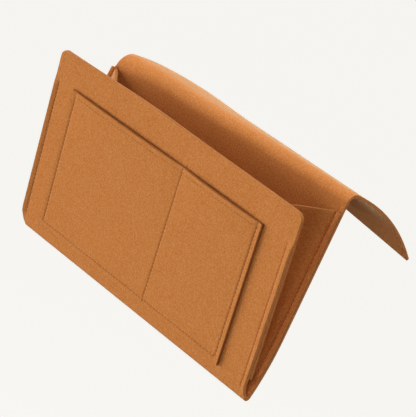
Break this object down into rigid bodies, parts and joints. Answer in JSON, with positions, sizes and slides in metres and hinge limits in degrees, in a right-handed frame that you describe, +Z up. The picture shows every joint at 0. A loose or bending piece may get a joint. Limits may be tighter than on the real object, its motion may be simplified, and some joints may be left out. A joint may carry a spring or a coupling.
{
  "type": "bedside caddy",
  "caption": "Felt bedside caddy: a flap tucks under the mattress, and a bellows-sided main pocket hangs below it with a divided patch pocket on its front.",
  "frame": {"origin": "middle of the top fold's hollow side, where the upper edge of the bed base sits: the rear face's plane, at the level of the fold's underside", "axes": "+X along the top fold, to the right as seen from the front, +Y towards the bed, +Z up"},
  "size_m": [0.33, 0.2283, 0.2063],
  "materials": {
    "felt": "matte",
    "thread": "satin"
  },
  "bodies": {
    "back": {"back_panel": "felt", "left_gusset_rear_hem": "felt", "right_gusset_rear_hem": "felt", "left_rear_seam": "thread", "right_rear_seam": "thread"},
    "flap": {"tuck_flap": "felt"},
    "front": {"front_panel": "felt", "outer_pocket": "felt", "left_gusset_front_hem": "felt", "right_gusset_front_hem": "felt", "left_front_seam": "thread", "right_front_seam": "thread", "pocket_seam": "thread", "divider_seam": "thread", "mouth_stitch": "thread"},
    "left_rear_leaf": {"left_gusset_rear_leaf": "felt"},
    "left_front_leaf": {"left_gusset_front_leaf": "felt"},
    "right_rear_leaf": {"right_gusset_rear_leaf": "felt"},
    "right_front_leaf": {"right_gusset_front_leaf": "felt"}
  },
  "joints": [
    {"name": "flap_fold", "type": "hinge", "parent": "back", "child": "flap", "pos_m": [0, 0.01305, 0.0015], "axis": [0.9996, -0.0242, 0.0148], "range_deg": [-60, 90], "stiffness_Nm_per_rad": 1.5},
    {"name": "front_swing", "type": "hinge", "parent": "back", "child": "front", "pos_m": [0, -0.01589, -0.1995], "axis": [1, 0, 0], "range_deg": [-14, 5], "stiffness_Nm_per_rad": 1.5},
    {"name": "left_rear_leaf_fold", "type": "hinge", "parent": "back", "child": "left_rear_leaf", "pos_m": [-0.15746, -0.0048, -0.17], "axis": [-0.0497, 0, -0.9988], "range_deg": [-37, 14]},
    {"name": "left_front_leaf_fold", "type": "hinge", "parent": "front", "child": "left_front_leaf", "pos_m": [-0.159, -0.02136, -0.17032], "axis": [0, -0.2924, 0.9563], "range_deg": [-37, 14]},
    {"name": "right_rear_leaf_fold", "type": "hinge", "parent": "back", "child": "right_rear_leaf", "pos_m": [0.15746, -0.0048, -0.17], "axis": [-0.0497, 0, 0.9988], "range_deg": [-37, 14]},
    {"name": "right_front_leaf_fold", "type": "hinge", "parent": "front", "child": "right_front_leaf", "pos_m": [0.159, -0.02136, -0.17032], "axis": [0, 0.2924, -0.9563], "range_deg": [-37, 14]}
  ],
  "couplings": [
    {"joint": "left_rear_leaf_fold", "follows": "front_swing", "ratio": 2.6},
    {"joint": "left_front_leaf_fold", "follows": "front_swing", "ratio": 2.6},
    {"joint": "right_rear_leaf_fold", "follows": "front_swing", "ratio": 2.6},
    {"joint": "right_front_leaf_fold", "follows": "front_swing", "ratio": 2.6}
  ]
}
